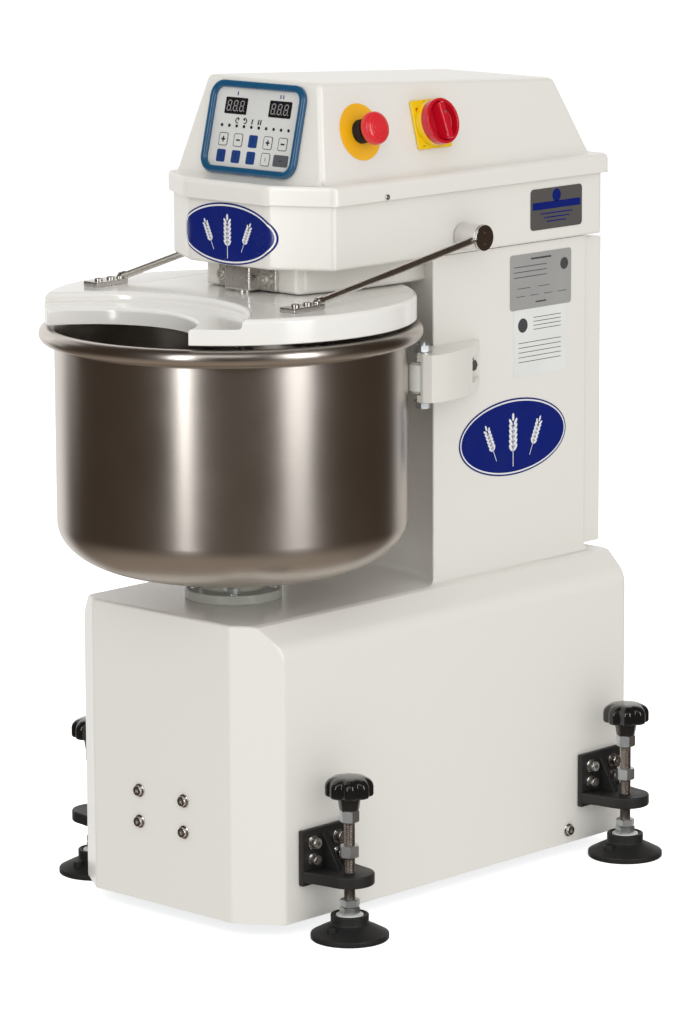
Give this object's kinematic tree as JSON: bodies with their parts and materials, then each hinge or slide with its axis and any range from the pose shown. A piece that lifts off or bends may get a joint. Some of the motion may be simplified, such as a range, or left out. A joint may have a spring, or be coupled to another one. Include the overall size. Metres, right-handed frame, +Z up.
{
  "type": "spiral dough mixer",
  "caption": "Floor-standing spiral dough mixer: turning steel bowl, hinged lid with ingredient port, belt-driven spiral and levelling feet.",
  "frame": {"origin": "on the floor, at the centre of the plan, halfway between the front of the bowl rim and the back of the base", "axes": "+Z up; the operator and the bowl are on the -Y side; +X is the side with the stop button and the rotary switch"},
  "size_m": [0.532, 0.768, 1.003],
  "materials": {
    "white_paint": "warm glossy white enamel",
    "cast_white": "white enamel on a casting",
    "flange_paint": "pale grey-green enamel on cast iron",
    "lid_plastic": "glossy moulded white",
    "stainless": "brushed stainless steel",
    "polished_steel": "polished",
    "shaft_steel": "ground steel",
    "zinc_steel": "bright zinc plate",
    "black_casting": "satin black paint",
    "black_plastic": "black moulded",
    "motor_paint": "grey paint",
    "pulley_iron": "machined cast iron",
    "belt_rubber": "matt black",
    "heat_sink": "anodised housing",
    "bezel_blue": "glossy blue",
    "panel_film": "printed light grey film",
    "display_black": "smoked window",
    "label_yellow": "yellow moulded",
    "stop_red": "glossy red",
    "dial_red": "glossy red",
    "nylon": "natural nylon",
    "badge_blue": "printed plate"
  },
  "bodies": {
    "frame": {"base_shell": "white_paint", "column_shell": "white_paint", "rear_cover": "white_paint", "head_housing": "white_paint", "arm_housing": "white_paint", "top_cover": "white_paint", "roller_bracket_right": "cast_white", "roller_bracket_left": "cast_white", "bowl_bearing_flange": "flange_paint", "rear_bowl_cover": "lid_plastic", "breaker_bar": "stainless", "bar_clamp": "stainless", "bar_clamp_screws": "stainless", "spiral_bearings": "shaft_steel", "bowl_flange_bolts": "zinc_steel", "roller_bolts": "zinc_steel", "frame_bolts": "zinc_steel", "foot_bracket_front_right": "black_casting", "foot_bracket_front_left": "black_casting", "foot_bracket_rear_right": "black_casting", "foot_bracket_rear_left": "black_casting", "estop_collar": "black_plastic", "cable_gland": "black_plastic", "spiral_motor": "motor_paint", "bowl_motor": "motor_paint", "drive_deck": "motor_paint", "spiral_belt": "belt_rubber", "bowl_belt": "belt_rubber", "drive_controller": "heat_sink", "control_bezel": "bezel_blue", "control_panel": "panel_film", "display_windows": "display_black", "estop_label": "label_yellow", "switch_body": "label_yellow", "badges": "badge_blue"},
    "bowl": {"bowl": "stainless", "bowl_shaft": "shaft_steel", "bowl_pulley": "pulley_iron"},
    "bowl_motor_rotor": {"bowl_motor_pulley": "pulley_iron"},
    "spiral": {"spiral_hook": "stainless", "spiral_shaft": "shaft_steel", "spiral_pulley": "pulley_iron"},
    "spiral_motor_rotor": {"spiral_motor_pulley": "pulley_iron"},
    "roller_right": {"guide_roller_right": "nylon"},
    "roller_left": {"guide_roller_left": "nylon"},
    "lid": {"lid": "lid_plastic", "lid_arms": "stainless", "lid_shaft": "polished_steel", "lid_screws": "stainless"},
    "estop_stem": {"estop_stem": "shaft_steel"},
    "estop_button": {"estop_button": "stop_red"},
    "switch_dial": {"switch_dial": "dial_red"},
    "foot_pad_front_right": {"foot_pad_front_right": "black_plastic"},
    "foot_screw_front_right": {"foot_screw_front_right": "zinc_steel"},
    "foot_pad_front_left": {"foot_pad_front_left": "black_plastic"},
    "foot_screw_front_left": {"foot_screw_front_left": "zinc_steel"},
    "foot_pad_rear_right": {"foot_pad_rear_right": "black_plastic"},
    "foot_screw_rear_right": {"foot_screw_rear_right": "zinc_steel"},
    "foot_pad_rear_left": {"foot_pad_rear_left": "black_plastic"},
    "foot_screw_rear_left": {"foot_screw_rear_left": "zinc_steel"}
  },
  "joints": [
    {"name": "bowl_spin", "type": "hinge", "parent": "frame", "child": "bowl", "pos_m": [0, -0.1535, 0.5], "axis": [0, 0, 1], "continuous": true},
    {"name": "bowl_motor_spin", "type": "hinge", "parent": "frame", "child": "bowl_motor_rotor", "pos_m": [0, 0.1305, 0.08], "axis": [0, 0, 1], "continuous": true},
    {"name": "spiral_spin", "type": "hinge", "parent": "frame", "child": "spiral", "pos_m": [0, -0.0355, 0.8], "axis": [0, 0, 1], "continuous": true},
    {"name": "spiral_motor_spin", "type": "hinge", "parent": "frame", "child": "spiral_motor_rotor", "pos_m": [0, 0.2345, 0.84], "axis": [0, 0, 1], "continuous": true},
    {"name": "roller_right_spin", "type": "hinge", "parent": "frame", "child": "roller_right", "pos_m": [0.15713, 0.015, 0.645], "axis": [0, 0, 1], "continuous": true},
    {"name": "roller_left_spin", "type": "hinge", "parent": "frame", "child": "roller_left", "pos_m": [-0.15713, 0.015, 0.645], "axis": [0, 0, 1], "continuous": true},
    {"name": "lid_lift", "type": "hinge", "parent": "frame", "child": "lid", "pos_m": [0, 0.108, 0.806], "axis": [-1, 0, 0], "range_deg": [0, 75]},
    {"name": "estop_press", "type": "slide", "parent": "frame", "child": "estop_stem", "axis": [-0.9692, 0, -0.2464], "range_m": [0, 0.004]},
    {"name": "estop_twist", "type": "hinge", "parent": "estop_stem", "child": "estop_button", "pos_m": [0.1095, -0.043, 0.942], "axis": [0.9692, 0, 0.2464], "range_deg": [0, 30], "stiffness_Nm_per_rad": 0.2},
    {"name": "switch_turn", "type": "hinge", "parent": "frame", "child": "switch_dial", "pos_m": [0.1095, 0.08, 0.942], "axis": [0.9692, 0, 0.2464], "range_deg": [0, 90]},
    {"name": "foot_travel_front_right", "type": "slide", "parent": "frame", "child": "foot_pad_front_right", "axis": [0, 0, -1], "range_m": [-0.0151, 0.0181]},
    {"name": "knob_turn_front_right", "type": "hinge", "parent": "foot_pad_front_right", "child": "foot_screw_front_right", "pos_m": [0.219, -0.182, 0.1], "axis": [0, 0, -1], "range_deg": [-2700, 3240]},
    {"name": "foot_travel_front_left", "type": "slide", "parent": "frame", "child": "foot_pad_front_left", "axis": [0, 0, -1], "range_m": [-0.0151, 0.0181]},
    {"name": "knob_turn_front_left", "type": "hinge", "parent": "foot_pad_front_left", "child": "foot_screw_front_left", "pos_m": [-0.219, -0.182, 0.1], "axis": [0, 0, -1], "range_deg": [-2700, 3240]},
    {"name": "foot_travel_rear_right", "type": "slide", "parent": "frame", "child": "foot_pad_rear_right", "axis": [0, 0, -1], "range_m": [-0.0151, 0.0181]},
    {"name": "knob_turn_rear_right", "type": "hinge", "parent": "foot_pad_rear_right", "child": "foot_screw_rear_right", "pos_m": [0.219, 0.326, 0.1], "axis": [0, 0, -1], "range_deg": [-2700, 3240]},
    {"name": "foot_travel_rear_left", "type": "slide", "parent": "frame", "child": "foot_pad_rear_left", "axis": [0, 0, -1], "range_m": [-0.0151, 0.0181]},
    {"name": "knob_turn_rear_left", "type": "hinge", "parent": "foot_pad_rear_left", "child": "foot_screw_rear_left", "pos_m": [-0.219, 0.326, 0.1], "axis": [0, 0, -1], "range_deg": [-2700, 3240]}
  ],
  "couplings": [
    {"joint": "bowl_motor_spin", "follows": "bowl_spin", "ratio": 3.6667},
    {"joint": "spiral_motor_spin", "follows": "spiral_spin", "ratio": 3},
    {"joint": "roller_right_spin", "follows": "bowl_spin", "ratio": -11.778},
    {"joint": "roller_left_spin", "follows": "bowl_spin", "ratio": -11.778},
    {"joint": "foot_travel_front_right", "follows": "knob_turn_front_right", "m_per_rad": 0.00031831},
    {"joint": "foot_travel_front_left", "follows": "knob_turn_front_left", "m_per_rad": 0.00031831},
    {"joint": "foot_travel_rear_right", "follows": "knob_turn_rear_right", "m_per_rad": 0.00031831},
    {"joint": "foot_travel_rear_left", "follows": "knob_turn_rear_left", "m_per_rad": 0.00031831}
  ]
}
